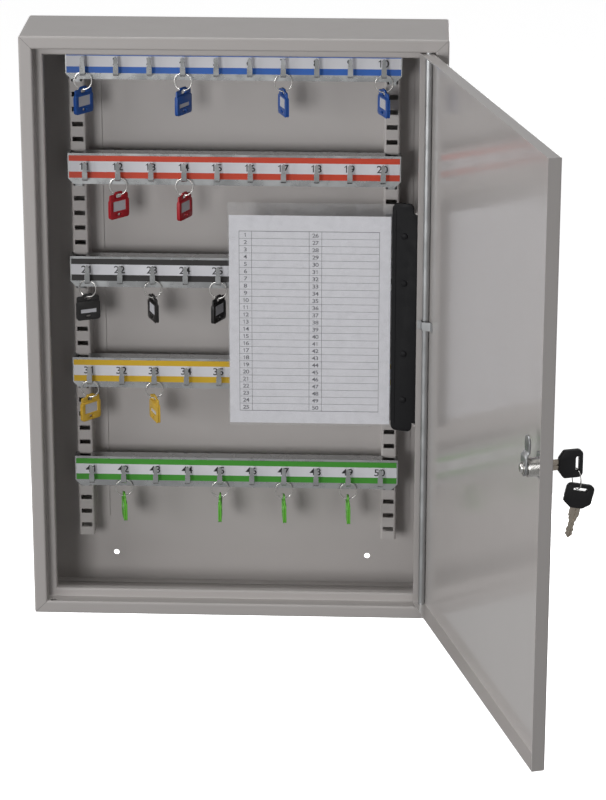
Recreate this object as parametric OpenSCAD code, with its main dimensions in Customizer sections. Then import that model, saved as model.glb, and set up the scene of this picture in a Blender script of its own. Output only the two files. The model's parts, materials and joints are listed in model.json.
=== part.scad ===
// Wall key cabinet for fifty keys: a folded steel casing with a pan door on a full-height rod,
// five hook bars hung in slotted uprights, a swinging index pocket, a cam lock and key tags.
// +X is right as seen from the front, +Y goes into the wall and +Z is up.
// The origin is the centre of the rear face.

/* [Cabinet] */
// Outer width of the casing
cabinet_w = 380; // [350:1:480]
// Outer height of the casing
cabinet_h = 554; // [540:1:700]
// Outer depth of the casing
cabinet_d = 80; // [76:1:110]
// Sheet thickness of the casing
casing_t = 1.2; // [0.9:0.1:1.4]
// Bend radius of the casing at the middle of the sheet
casing_bend = 1.2; // [1:0.1:1.5]
// Radius of the casing's four outer corners
corner_r = 2.5; // [1:0.5:2.5]
// Width of the front frame's face
frame_w = 12; // [10:0.5:18]
// Depth of the rebate that takes the door
rebate_d = 13; // [13:0.5:16]
// Width of the lip round the opening
lip_w = 8; // [6:0.5:10]
// Depth of the lip's return into the cabinet
lip_return = 7; // [6:0.5:9]

/* [Back panel] */
// Sheet thickness of the back panel
back_t = 1.2; // [0.8:0.1:2]
// Depth of the back panel's flanges
back_flange = 10; // [6:0.5:16]
// Distance between the wall holes across
wall_hole_x = 240; // [180:1:250]
// Distance of the wall holes from the top and bottom
wall_hole_inset = 29.5; // [20:0.5:40]
// Diameter of the wall holes
wall_hole_d = 5.5; // [4:0.5:8]

/* [Door] */
// Sheet thickness of the door
door_t = 1; // [0.8:0.1:1.2]
// Depth of the door pan
door_depth = 11.5; // [10:0.5:11.5]
// Gap round the door at its free side, top and bottom
door_gap = 1; // [0.6:0.1:2]
// Bend radius of the door at the middle of the sheet
door_bend = 1; // [1:0.1:1.5]
// How far the door stands open, in degrees
door_open = 106.5; // [0:0.5:108]
// Diameter of the hinge rod
rod_d = 6; // [4:0.5:6]
// Gap between the rod and the door's sheet
rod_gap = 0.2; // [0.2:0.05:0.5]
// Radial clearance of the rod in the door's holes
rod_fit = 0.05; // [0.02:0.01:0.1]
// Gap between the door's turning corner and the frame
hinge_gap = 0.35; // [0.3:0.05:1]
// Height of the rod's clip above the cabinet's middle
clip_z = 12; // [-100:1:100]
// Height of the rod's clip
clip_h = 8; // [5:0.5:14]
// Sheet thickness of the rod's clip
clip_t = 0.8; // [0.5:0.1:1]

/* [Key bars] */
// Number of key bars
row_count = 5; // [1:1:5]
// Hooks on each bar
hook_count = 10; // [8:1:10]
// Distance between hooks
hook_pitch = 30; // [28:0.5:31]
// Distance between slots in the uprights
slot_pitch = 14; // [12:0.5:15]
// Slots from one bar to the next
row_slots = 7; // [6:1:7]
// Height of a key bar, in slots
bar_slots = 2; // [2:1:3]
// Drop of the first bar's lower edge below the cabinet's top
first_bar_drop = 49; // [46:0.5:70]
// Offset of the bars and uprights from the cabinet's middle
rack_x = -2.5; // [-4:0.5:4]
// Distance from the last hook to the bar's end
bar_end = 16; // [14:0.5:18]
// Depth of a key bar
bar_depth = 12; // [8:0.5:16]
// Sheet thickness of the bars, tabs and hooks
bar_t = 1; // [0.8:0.1:1.2]
// Cut-off at the bar's corners
bar_chamfer = 5; // [2:0.5:6]
// Width of the tabs that hang in the slots
tab_w = 6.5; // [4:0.5:8]
// Clearance of the tabs in the slots
tab_gap = 0.2; // [0.1:0.05:0.5]
// Width of a hook at its root
hook_w = 4.8; // [4:0.2:6]
// Width of a hook near its point
hook_tip_w = 3.6; // [2:0.2:4]
// Gap between a hook and the bar's face
hook_gap = 6.6; // [5:0.2:8]
// Height of a hook from its underside to its point
hook_h = 18.5; // [14:0.5:20]
// Height of the hook's underside above the bar's lower edge
hook_base = 4.5; // [3:0.5:6]
// Height of a number strip
strip_h = 21; // [16:0.5:21.5]
// Thickness of a number strip
strip_t = 0.3; // [0.2:0.1:0.5]

/* [Uprights] */
// Width of the upright's crown
crown_w = 14.4; // [12:0.2:20]
// Width over the upright's brims
brim_w = 39; // [30:0.5:44]
// Height of the crown above the back panel
crown_h = 25; // [16:0.5:28]
// Sheet thickness of the uprights
upright_t = 1.2; // [0.8:0.1:1.5]
// Distance from a bar's end to the middle of its upright
upright_inset = 8.5; // [8:0.5:10]
// Width of a slot
slot_w = 10; // [8.5:0.5:11]
// Height of a slot
slot_h = 4.4; // [4:0.2:6]
// Height of the slots' middle below the bar's lower edge
slot_drop = 3.2; // [3:0.1:4]
// Spare slots below the last bar
spare_slots = 3; // [1:1:4]
// Length of the uprights past their last slots
upright_tail = 8; // [5:0.5:9]

/* [Lock] */
// Distance of the lock from the door's free edge
lock_inset = 20; // [18:0.5:26]
// Diameter of the lock's housing
barrel_d = 16; // [14:0.5:19]
// Diameter of the lock's outer flange
barrel_head_d = 20; // [18:0.5:24]
// Thickness of the lock's outer flange
barrel_head_t = 2.5; // [1.5:0.5:4]
// Depth of the housing behind the door's outer face
barrel_l = 16.6; // [16.6:0.1:18]
// Diameter of the turning plug
plug_d = 12; // [11:0.5:12]
// Radial clearance of the plug in its housing
plug_fit = 0.05; // [0.02:0.01:0.1]
// Length of the cam from the lock's axis to its tip
cam_l = 28; // [24:0.5:29]
// Width of the cam
cam_w = 14; // [9:0.5:14]
// Sheet thickness of the cam
cam_t = 1.6; // [1.2:0.1:2]
// Crank of the cam towards the door
cam_crank = 2.8; // [2:0.1:2.8]
// Width across the plug's square drive
drive_w = 6.5; // [5:0.5:7]

/* [Keys] */
// Length of the key's blade inside the lock
blade_l = 18; // [12:0.5:18]
// Width of the key's blade
blade_w = 7; // [5:0.5:8]
// Thickness of the key's blade
blade_t = 2; // [1.6:0.1:2.2]
// Clearance of the blade in the keyway
keyway_gap = 0.15; // [0.05:0.05:0.3]
// Length of the blade's shoulder outside the lock
shoulder_l = 8.3; // [5:0.1:12]
// Width of the blade's shoulder
shoulder_w = 9; // [8:0.5:12]
// Length of the key's bow along the key
bow_l = 20.8; // [18:0.2:24]
// Width of the key's bow
bow_w = 24; // [20:0.5:28]
// Thickness of the key's bow
bow_t = 5; // [4:0.5:6]
// Length of the bow's slot
bow_slot_l = 12.4; // [8:0.2:14]
// Width of the bow's slot
bow_slot_w = 2.9; // [2.9:0.1:4]
// Distance of the slot's middle from the bow's outer end
bow_slot_inset = 4.7; // [4:0.1:6]
// Radius of the key ring to the middle of its wire
key_ring_r = 8.7; // [8:0.1:12]
// Diameter of the key ring's wire
key_ring_wire = 1.2; // [0.8:0.1:1.3]
// Turn of the key ring away from the key's side, in degrees
key_ring_turn = 5; // [0:1:16]
// Place of the ring along the spare key's slot, from its middle
spare_offset = 3.5; // [0:0.1:4]
// Tilt of the hanging spare key, in degrees
spare_tilt = 13; // [0:0.5:14]

/* [Index] */
// Height of the index strip
index_h = 218; // [160:1:240]
// Width of the index strip beyond its pivot
index_strip_w = 25.5; // [20:0.5:30]
// Thickness of the index strip
index_strip_t = 2.4; // [2:0.1:3]
// Lean of the strip back from the front, in degrees
index_lean = 15; // [0:1:15]
// Height of the index's middle above the cabinet's middle
index_z = 12; // [-60:1:60]
// Distance of the index pivot from the opening's edge
index_pivot_inset = 3.7; // [3.5:0.1:6]
// Depth of the index pivot behind the lip's face
index_pivot_depth = 4.4; // [4.4:0.1:6]
// Radius of the index strip's knuckle
knuckle_r = 3; // [2.5:0.1:3]
// Distance from the strip's middle to an ear's inner face
ear_reach = 100.5; // [70:0.5:110]
// Radius of an ear
ear_r = 4.2; // [3.6:0.1:4.2]
// Thickness of an ear
ear_t = 1.5; // [1:0.1:2]
// Diameter of the index pivot pins
index_pin_d = 3; // [2:0.1:3]
// Radial clearance of a pin in the knuckle
index_pin_fit = 0.05; // [0.02:0.01:0.1]
// Width of the sleeve's pocket beyond the strip
pocket_w = 150; // [120:1:152]
// Height of the sleeve
sleeve_h = 214; // [150:1:236]
// Thickness of the sleeve
sleeve_t = 1; // [0.8:0.1:1.6]
// Width of the sleeve's edge clamped behind the strip
margin_w = 18; // [14:0.5:19]
// Width of the index sheet
sheet_w = 147; // [100:1:149]
// Height of the index sheet
sheet_h = 200; // [120:1:210]
// Thickness of the index sheet
sheet_t = 0.3; // [0.2:0.1:0.4]
// Diameter of the rivets' shanks
rivet_d = 3; // [2:0.5:4]

/* [Rings and tags] */
// Radius of a split ring to the middle of its wire
ring_r = 7.9; // [7:0.1:9]
// Diameter of a split ring's section
ring_wire = 1.6; // [1.2:0.1:1.6]
// Gap between a ring and what it hangs on, or what hangs on it
ring_gap = 0.3; // [0.2:0.05:0.4]
// Width of a tag
tag_w = 22.6; // [20:0.2:25]
// Height of a tag
tag_h = 25; // [24:0.5:30]
// Thickness of a tag
tag_t = 3.2; // [2.4:0.1:4]
// Thickness of a tag at its hole
tag_tab_t = 1.6; // [1.2:0.1:2]
// Length of a tag's hole
tag_hole_l = 7; // [7:0.1:8]
// Height of a tag's hole
tag_hole_h = 4; // [3.6:0.1:4.4]
// Distance of a tag's hole from its top
tag_hole_drop = 4; // [3.8:0.1:5]

/* [Hidden] */
$fn = 48;
bend_steps = 4;
overrun = 1;
contact_gap = 0.05;

// Hook number, turn of the ring and turn of the tag about the vertical, in degrees.
HANGING = [
    [1, -4, 56], [4, -10, -111], [7, 8, -77], [10, 8, -75],
    [12, 4, 42], [14, -8, 71],
    [21, -16, -140], [23, 10, -76], [25, -8, 72],
    [31, -4, 51], [33, 8, 106],
    [42, 8, -87], [45, 4, -92], [47, 6, -90], [49, 5, -90]
];
TAG_COLOURS = ["royalblue", "crimson", "dimgray", "gold", "limegreen"];

function piece_name(kind, hook) = str(kind, hook < hook_count ? "0" : "", hook);

// Casing, measured from the middle of the rear face
half_w = cabinet_w / 2;
half_h = cabinet_h / 2;
front_y = -cabinet_d;
opening_inset = frame_w + lip_w;
lip_y = front_y + rebate_d;
frame_x = half_w - frame_w;
frame_z = half_h - frame_w;
lip_x = half_w - opening_inset;

// Door and hinge, with the door closed
rod_r = rod_d / 2;
rod_offset = door_t + rod_gap + rod_r;
door_outer_bend = door_bend + door_t / 2;
corner_reach = (rod_offset - door_outer_bend) * sqrt(2) + door_outer_bend;
hinge_x = frame_x - hinge_gap - corner_reach;
hinge_y = front_y + rod_offset;
door_right = hinge_x + rod_offset;
door_left = door_gap - frame_x;
door_half_h = frame_z - door_gap;
door_mid_x = (door_left + door_right) / 2;
door_w = door_right - door_left;

// Bars and uprights
row_pitch = row_slots * slot_pitch;
bar_h = bar_slots * slot_pitch + bar_t;
bar_half_l = (hook_count - 1) * hook_pitch / 2 + bar_end;
crown_y = -back_t - crown_h;
bar_y = crown_y - bar_depth;
upright_x = bar_half_l - upright_inset;
strip_base = hook_base + bar_t + 0.3;
first_slot_z = row_z(0) - slot_drop + bar_slots * slot_pitch;
slot_count = (row_count - 1) * row_slots + bar_slots + 1 + spare_slots;
last_slot_z = first_slot_z - (slot_count - 1) * slot_pitch;
upright_top = first_slot_z + slot_h / 2 + upright_tail;
upright_bottom = last_slot_z - slot_h / 2 - upright_tail;
valley_y = bar_y - hook_gap / 2;

// Lock
lock_x = door_left + lock_inset;
cam_base_y = front_y + barrel_l + 0.8;
lock_back_y = front_y + barrel_l;
lock_front_y = front_y - barrel_head_t;

// Keys
bow_front_y = lock_front_y - shoulder_l;
bow_slot_y = bow_front_y - bow_l + bow_slot_inset;
key_ring_sag = key_ring_r - sqrt(pow(key_ring_r, 2) - pow(bow_t / 2, 2));
key_ring_top = -bow_slot_l / 2 + key_ring_wire / 2 + key_ring_sag + ring_gap;
key_ring_bottom = key_ring_top - 2 * key_ring_r;
spare_hang = bow_slot_w / 2 - key_ring_wire / 2 - key_ring_sag - ring_gap;

// Index, with its pivot at the right of the opening
index_x = lip_x - index_pivot_inset;
index_y = lip_y + index_pivot_depth;
rivet_rows = [-0.36, -0.155, 0.155, 0.36];
rivet_u = 0.55 * index_strip_w;

function row_z(row) = half_h - first_bar_drop - row * row_pitch;
function hook_x(column) = rack_x + (column - (hook_count - 1) / 2) * hook_pitch;
function hook_row(hook) = floor((hook - 1) / hook_count);
function hook_column(hook) = hook - 1 - hook_row(hook) * hook_count;

// Outline of a folded sheet that follows a path, with every bend rounded.
function unit(v) = v / norm(v);
function left_of(v) = [-v[1], v[0]];
function turned(v, a) = [v[0] * cos(a) - v[1] * sin(a), v[0] * sin(a) + v[1] * cos(a)];
function bend_angle(a, b) = atan2(a[0] * b[1] - a[1] * b[0], a * b);
function bend(p, i, r, off) =
    let (
        before = unit(p[i] - p[i - 1]),
        after = unit(p[i + 1] - p[i]),
        angle = bend_angle(before, after),
        side = sign(angle),
        start = p[i] - before * r * tan(abs(angle) / 2),
        centre = start + left_of(before) * side * r
    )
    [for (k = [0:bend_steps])
        centre + (off - side * r) * turned(left_of(before), angle * k / bend_steps)];
function offset_path(p, r, off) =
    let (last = len(p) - 1)
    concat(
        [p[0] + left_of(unit(p[1] - p[0])) * off],
        [for (i = [1:1:last - 1]) each bend(p, i, r, off)],
        [p[last] + left_of(unit(p[last] - p[last - 1])) * off]
    );
function reversed(list) = [for (i = [len(list) - 1:-1:0]) list[i]];
function folded(p, r, t) = concat(offset_path(p, r, t / 2), reversed(offset_path(p, r, -t / 2)));

// A profile run round a rectangle with its corners mitred. In the profile, x is the distance
// inwards from the rectangle and y is the distance behind the front.
module mitred_frame(w, h, depth) {
    reach = 60;
    module side(length, across) {
        intersection() {
            translate([0, 0, across / 2])
                rotate([0, 90, 0])
                    linear_extrude(length, center = true)
                        children();
            translate([0, depth + overrun, 0])
                rotate([90, 0, 0])
                    linear_extrude(depth + 2 * overrun)
                        polygon([
                            [-length / 2, across / 2], [length / 2, across / 2],
                            [length / 2 - reach, across / 2 - reach],
                            [reach - length / 2, across / 2 - reach]
                        ]);
        }
    }
    side(w, h) children();
    rotate([0, 90, 0]) side(h, w) children();
    rotate([0, 180, 0]) side(w, h) children();
    rotate([0, 270, 0]) side(h, w) children();
}

module at_front() {
    translate([0, front_y, 0]) children();
}

module rounded_slab(w, h, r, y0, y1) {
    translate([0, y1, 0])
        rotate([90, 0, 0])
            linear_extrude(y1 - y0)
                union() {
                    square([w - 2 * r, h], center = true);
                    square([w, h - 2 * r], center = true);
                    for (x = [-1, 1], z = [-1, 1])
                        translate([x * (w / 2 - r), z * (h / 2 - r)]) circle(r);
                }
}

// A cylinder along Y between two depths
module rod_y(r, y0, y1) {
    translate([0, y1, 0]) rotate([90, 0, 0]) cylinder(r = r, h = y1 - y0);
}

// Carries a piece of the closed door to where the door stands
module on_door() {
    translate([hinge_x, hinge_y, 0])
        rotate([0, 0, door_open])
            translate([-hinge_x, -hinge_y, 0])
                children();
}

module casing() {
    half_t = casing_t / 2;
    section = [
        [half_t, cabinet_d], [half_t, half_t], [frame_w - half_t, half_t],
        [frame_w - half_t, rebate_d + half_t], [opening_inset - half_t, rebate_d + half_t],
        [opening_inset - half_t, rebate_d + lip_return]
    ];
    color("lightgray")
        difference() {
            intersection() {
                at_front()
                    mitred_frame(cabinet_w, cabinet_h, cabinet_d)
                        polygon(folded(section, casing_bend, casing_t));
                rounded_slab(cabinet_w, cabinet_h, corner_r, front_y - overrun, overrun);
            }
            for (side = [-1, 1])
                translate([side * hinge_x, hinge_y, -half_h])
                    translate([0, 0, casing_t + overrun])
                        cylinder(r = rod_r, h = cabinet_h - 2 * (casing_t + overrun));
            translate([-lip_x - 2 * casing_t, lip_y + casing_t + casing_bend, -cam_w / 2 - 2])
                cube([4 * casing_t, lip_return, cam_w / 2 + cam_l + 4]);
        }
}

module back_panel() {
    inner_w = cabinet_w - 2 * casing_t - 2 * contact_gap;
    inner_h = cabinet_h - 2 * casing_t - 2 * contact_gap;
    inner_r = 1;
    color("lightgray")
        difference() {
            rounded_slab(inner_w, inner_h, inner_r, -back_flange, 0);
            rounded_slab(
                inner_w - 2 * back_t, inner_h - 2 * back_t, inner_r,
                -back_flange - overrun, -back_t
            );
            for (x = [-1, 1], z = [-1, 1])
                translate([x * wall_hole_x / 2, 0, z * (half_h - wall_hole_inset)])
                    rod_y(wall_hole_d / 2, -back_t - overrun, overrun);
        }
}

module upright() {
    half_t = upright_t / 2;
    depth = crown_h - half_t;
    hat = [
        [-brim_w / 2, -half_t], [half_t - crown_w / 2, -half_t], [half_t - crown_w / 2, -depth],
        [crown_w / 2 - half_t, -depth], [crown_w / 2 - half_t, -half_t], [brim_w / 2, -half_t]
    ];
    cut = (brim_w - crown_w) / 2;
    difference() {
        translate([0, -back_t, upright_bottom])
            linear_extrude(upright_top - upright_bottom)
                polygon(folded(hat, upright_t, upright_t));
        for (k = [0:slot_count - 1])
            translate([-slot_w / 2, crown_y - overrun, first_slot_z - k * slot_pitch - slot_h / 2])
                cube([slot_w, upright_t + 2 * overrun, slot_h]);
        for (x = [-1, 1], z = [upright_bottom, upright_top])
            translate([x * brim_w / 2, -back_t + overrun, z])
                rotate([90, 0, 0])
                    linear_extrude(upright_t + 2 * overrun)
                        rotate(45)
                            square(sqrt(2) * (cut - 2 * upright_t), center = true);
    }
}

module upright_left() {
    color("lightgray") translate([rack_x - upright_x, 0, 0]) upright();
}

module upright_right() {
    color("lightgray") translate([rack_x + upright_x, 0, 0]) upright();
}

function bar_outline(inset) =
    let (
        x = bar_half_l - inset,
        top = bar_h - inset,
        cut = bar_chamfer - inset * (2 - sqrt(2))
    )
    [
        [-x, inset + cut], [cut - x, inset], [x - cut, inset], [x, inset + cut],
        [x, top], [-x, top]
    ];

// One hook, lanced from the bar's face and folded up, with a pointed tip
module hook() {
    half_t = bar_t / 2;
    point_h = 2;
    lean = 0.6;
    path = [
        [half_t, hook_base + half_t], [-hook_gap - half_t, hook_base + half_t],
        [-hook_gap - half_t - lean, hook_base + hook_h]
    ];
    intersection() {
        translate([-hook_w / 2, 0, 0])
            rotate([90, 0, 90])
                linear_extrude(hook_w)
                    polygon(folded(path, 2, bar_t));
        translate([0, bar_t, hook_base - overrun])
            rotate([90, 0, 0])
                linear_extrude(hook_gap + 4 * bar_t)
                    polygon([
                        [-hook_w / 2, 0], [hook_w / 2, 0],
                        [hook_w / 2, hook_h / 2], [hook_tip_w / 2, hook_h / 2 + 2 * overrun],
                        [hook_tip_w / 2, hook_h + overrun - point_h], [0, hook_h + overrun],
                        [-hook_tip_w / 2, hook_h + overrun - point_h],
                        [-hook_tip_w / 2, hook_h / 2 + 2 * overrun], [-hook_w / 2, hook_h / 2]
                    ]);
    }
}

// The tabs at one end of a bar, which pass through the upright's slots and hook down behind them
module bar_tabs() {
    seat = -slot_drop - slot_h / 2 + tab_gap;
    hook_back = upright_t + tab_gap;
    tab_x = -tab_w / 2;
    lip_drop = 3;
    // Lower tab: down in front of the crown, back through the slot, then down again
    translate([tab_x, -bar_t - tab_gap, seat]) cube([tab_w, bar_t, -seat + bar_t]);
    translate([tab_x, -bar_t - tab_gap, seat]) cube([tab_w, hook_back + 2 * bar_t + tab_gap, bar_t]);
    translate([tab_x, hook_back, seat - lip_drop]) cube([tab_w, bar_t, lip_drop + bar_t]);
    // Upper tab: straight back from the face through the slot, then down
    translate([tab_x, -bar_depth, seat + bar_slots * slot_pitch])
        cube([tab_w, bar_depth + hook_back + bar_t, bar_t]);
    translate([tab_x, hook_back, seat + bar_slots * slot_pitch - lip_drop])
        cube([tab_w, bar_t, lip_drop + bar_t]);
}

module key_bar(row) {
    color("gainsboro")
        translate([rack_x, 0, row_z(row)]) {
            difference() {
                translate([0, crown_y, 0])
                    rotate([90, 0, 0])
                        linear_extrude(bar_depth)
                            polygon(bar_outline(0));
                translate([0, crown_y + overrun, 0])
                    rotate([90, 0, 0])
                        linear_extrude(bar_depth + overrun - bar_t)
                            polygon(bar_outline(bar_t));
                for (side = [-1, 1])
                    translate([
                        side * upright_x - slot_w / 2 - overrun, bar_y + bar_t, bar_h - 2 * bar_t
                    ])
                        cube([slot_w + 2 * overrun, bar_depth, 3 * bar_t]);
            }
            for (side = [-1, 1])
                translate([side * upright_x, crown_y, 0]) bar_tabs();
            for (column = [0:hook_count - 1])
                translate([hook_x(column) - rack_x, bar_y, 0]) hook();
        }
}

module number_strips() {
    margin = 1;
    for (row = [0:row_count - 1])
        color(TAG_COLOURS[row])
            translate([rack_x, bar_y, row_z(row)])
                rotate([90, 0, 0])
                    linear_extrude(strip_t)
                        intersection() {
                            polygon(bar_outline(margin));
                            translate([-bar_half_l, strip_base]) square([2 * bar_half_l, strip_h]);
                        }
}

module hinge_rod() {
    rod_l = 2 * (frame_z + 2 * casing_t);
    color("silver")
        translate([hinge_x, hinge_y, -rod_l / 2]) cylinder(r = rod_r, h = rod_l);
}

module door_panel() {
    edge = 12;
    half_t = door_t / 2;
    section = [[half_t, door_depth], [half_t, half_t], [edge, half_t]];
    color("lightgray")
        on_door()
            difference() {
                union() {
                    translate([door_mid_x, front_y, 0])
                        mitred_frame(door_w, 2 * door_half_h, door_depth)
                            polygon(folded(section, door_bend, door_t));
                    translate([
                        door_left + edge - overrun, front_y, edge - overrun - door_half_h
                    ])
                        cube([
                            door_w - 2 * (edge - overrun), door_t,
                            2 * (door_half_h - edge + overrun)
                        ]);
                }
                translate([hinge_x, hinge_y, -door_half_h - overrun])
                    cylinder(r = rod_r + rod_fit, h = 2 * (door_half_h + overrun));
                translate([lock_x, 0, 0])
                    rod_y(barrel_d / 2 + contact_gap, front_y - overrun, front_y + door_t + overrun);
            }
}

module hinge_clip() {
    half_t = clip_t / 2;
    clear = rod_offset + rod_r + rod_gap + clip_t;
    wall = door_t + contact_gap + half_t;
    path = [
        [wall, door_depth - half_t], [wall + clip_t, clear], [clear, clear],
        [clear + 3.5, wall], [clear + 8, wall]
    ];
    color("gainsboro")
        on_door()
            translate([door_right, front_y, clip_z - clip_h / 2])
                linear_extrude(clip_h)
                    mirror([1, 0])
                        polygon(folded(path, clip_t / 2, clip_t));
}

module lock_barrel() {
    color("silver")
        on_door()
            translate([lock_x, 0, 0])
                difference() {
                    union() {
                        rod_y(barrel_head_d / 2, lock_front_y, front_y);
                        rod_y(barrel_d / 2, front_y, lock_back_y);
                    }
                    rod_y(plug_d / 2 + plug_fit, lock_front_y - overrun, lock_back_y + overrun);
                }
}

module lock_nut() {
    nut_across = barrel_d + 6;
    nut_t = 4;
    color("silver")
        on_door()
            translate([lock_x, 0, 0])
                difference() {
                    translate([0, front_y + door_t + nut_t, 0])
                        rotate([90, 0, 0])
                            cylinder(d = nut_across / cos(30), h = nut_t, $fn = 6);
                    rod_y(barrel_d / 2 + contact_gap, front_y, front_y + nut_t + 2 * overrun);
                }
}

module lock_plug() {
    shoulder = cam_base_y - 2 * contact_gap;
    color("gainsboro")
        on_door()
            translate([lock_x, 0, 0])
                difference() {
                    union() {
                        rod_y(plug_d / 2, lock_front_y, shoulder);
                        translate([-drive_w / 2, shoulder - overrun, -drive_w / 2])
                            cube([drive_w, cam_t + overrun, drive_w]);
                    }
                    translate([
                        -blade_t / 2 - keyway_gap, lock_front_y - overrun, -blade_w / 2 - keyway_gap
                    ])
                        cube([
                            blade_t + 2 * keyway_gap, blade_l + overrun + keyway_gap,
                            blade_w + 2 * keyway_gap
                        ]);
                    rod_y(screw_r() + contact_gap, lock_front_y + blade_l - 3, cam_base_y + 3);
                }
}

function screw_r() = 1.75;

module lock_cam() {
    half_t = cam_t / 2;
    path = [
        [-cam_w / 2, half_t], [10, half_t], [14, half_t - cam_crank], [cam_l, half_t - cam_crank]
    ];
    hole = drive_w + 2 * contact_gap;
    color("silver")
        on_door()
            translate([lock_x, cam_base_y, 0])
                difference() {
                    intersection() {
                        translate([-cam_w / 2, 0, 0])
                            rotate([90, 0, 90])
                                linear_extrude(cam_w)
                                    polygon([for (p = folded(path, cam_t, cam_t)) [p[1], p[0]]]);
                        translate([0, cam_w, 0])
                            rotate([90, 0, 0])
                                linear_extrude(2 * cam_w)
                                    union() {
                                        circle(cam_w / 2);
                                        translate([-cam_w / 2, 0]) square([cam_w, 12]);
                                        translate([-cam_w / 2 + 1, 0])
                                            square([cam_w - 2, cam_l - cam_w / 2 + 1]);
                                        translate([0, cam_l - cam_w / 2 + 1])
                                            circle(cam_w / 2 - 1);
                                    }
                    }
                    translate([-hole / 2, -overrun, -hole / 2])
                        cube([hole, cam_t + 2 * overrun, hole]);
                }
}

washer_t = 0.8;

module cam_washer() {
    color("silver")
        on_door()
            translate([lock_x, cam_base_y + cam_t + contact_gap, 0])
                difference() {
                    rod_y(5.5, 0, washer_t);
                    rod_y(screw_r() + contact_gap, -overrun, washer_t + overrun);
                }
}

module cam_screw() {
    head_y = cam_base_y + cam_t + washer_t + 2 * contact_gap;
    color("silver")
        on_door()
            translate([lock_x, 0, 0])
                difference() {
                    union() {
                        rod_y(4.2, head_y, head_y + 1.4);
                        rod_y(3.2, head_y + 1.4, head_y + 2.2);
                        rod_y(screw_r(), lock_front_y + blade_l + overrun, head_y);
                    }
                    for (a = [0, 90])
                        rotate([0, a, 0])
                            translate([-2.4, head_y + 0.9, -0.5])
                                cube([4.8, 2 * overrun, 1]);
                }
}

// A key, with its axis along Y and its tip towards +Y; y = 0 is the face of the lock
module key_blade_shape() {
    tip = 3;
    translate([-blade_t / 2, 0, 0])
        rotate([90, 0, 90])
            linear_extrude(blade_t)
                polygon([
                    [-shoulder_l, -shoulder_w / 2], [-contact_gap, -shoulder_w / 2],
                    [-contact_gap, -blade_w / 2], [blade_l - tip, -blade_w / 2],
                    [blade_l, -blade_w / 2 + tip], [blade_l, blade_w / 2 - tip],
                    [blade_l - tip, blade_w / 2], [-contact_gap, blade_w / 2],
                    [-contact_gap, shoulder_w / 2], [-shoulder_l, shoulder_w / 2]
                ]);
}

module key_bow_shape() {
    corner = 4;
    back = -shoulder_l;
    slot_y = back - bow_l + bow_slot_inset;
    slot_reach = (bow_slot_l - bow_slot_w) / 2;
    translate([-bow_t / 2, 0, 0])
        rotate([90, 0, 90])
            linear_extrude(bow_t)
                difference() {
                    union() {
                        polygon([
                            [back, -shoulder_w / 2 - 1], [back, shoulder_w / 2 + 1],
                            [back - 4.5, bow_w / 2], [back - bow_l + corner, bow_w / 2],
                            [back - bow_l + corner, -bow_w / 2], [back - 4.5, -bow_w / 2]
                        ]);
                        translate([back - bow_l, corner - bow_w / 2])
                            square([corner + overrun, bow_w - 2 * corner]);
                        for (z = [-1, 1])
                            translate([back - bow_l + corner, z * (bow_w / 2 - corner)])
                                circle(corner);
                    }
                    for (z = [-1, 1])
                        translate([slot_y, z * slot_reach]) circle(bow_slot_w / 2);
                    translate([slot_y - bow_slot_w / 2, -slot_reach])
                        square([bow_slot_w, 2 * slot_reach]);
                }
}

module key_blade() {
    color("silver") on_door() translate([lock_x, lock_front_y, 0]) key_blade_shape();
}

module key_bow() {
    color("dimgray") on_door() translate([lock_x, lock_front_y, 0]) key_bow_shape();
}

module key_ring() {
    color("silver")
        on_door()
            translate([lock_x, bow_slot_y, key_ring_top - key_ring_r])
                rotate([90, 0, key_ring_turn])
                    rotate_extrude()
                        translate([key_ring_r, 0]) circle(key_ring_wire / 2, $fn = 16);
}

// Hangs the second key from the bottom of the key ring, tip down and tilted
module hung_spare() {
    on_door()
        translate([lock_x, bow_slot_y, key_ring_bottom])
            rotate([spare_tilt, 0, 0])
                translate([0, -spare_offset, -spare_hang])
                    rotate([-90, 0, 0])
                        translate([0, shoulder_l + bow_l - bow_slot_inset, 0])
                            children();
}

module spare_key_blade() {
    color("silver") hung_spare() key_blade_shape();
}

module spare_key_bow() {
    color("dimgray") hung_spare() key_bow_shape();
}

// Index pocket, folded against the opening. In its own frame the pivot is the Z axis.
module at_index() {
    translate([index_x, index_y, index_z]) children();
}

module index_ears() {
    weld_h = 9;
    pin_r = index_pin_d / 2;
    color("lightgray")
        at_index()
            for (side = [-1, 1])
                difference() {
                    union() {
                        translate([0, 0, side > 0 ? ear_reach : -ear_reach - ear_t]) {
                            cylinder(r = ear_r, h = ear_t);
                            translate([0, -ear_r, 0])
                                cube([index_pivot_inset - contact_gap, 2 * ear_r, ear_t]);
                        }
                        translate([
                            index_pivot_inset - contact_gap - casing_t / 2, casing_bend - ear_r / 2,
                            side > 0 ? ear_reach : -ear_reach - weld_h
                        ])
                            cube([casing_t / 2, ear_r, weld_h]);
                    }
                    translate([0, 0, side * (ear_reach + ear_t / 2) - overrun - ear_t])
                        cylinder(r = pin_r, h = 2 * (ear_t + overrun));
                    translate([index_pivot_inset - contact_gap, -2 * ear_r, -2 * ear_reach])
                        cube([ear_r, 4 * ear_r, 4 * ear_reach]);
                }
}

pin_depth = 9;

module index_pins() {
    head_t = 1;
    color("silver")
        at_index()
            for (side = [-1, 1])
                rotate([side > 0 ? 0 : 180, 0, 0]) {
                    translate([0, 0, ear_reach - pin_depth])
                        cylinder(d = index_pin_d, h = pin_depth + ear_t);
                    translate([0, 0, ear_reach + ear_t])
                        cylinder(r = index_pin_d / 2 + 1, h = head_t);
                }
}

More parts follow.
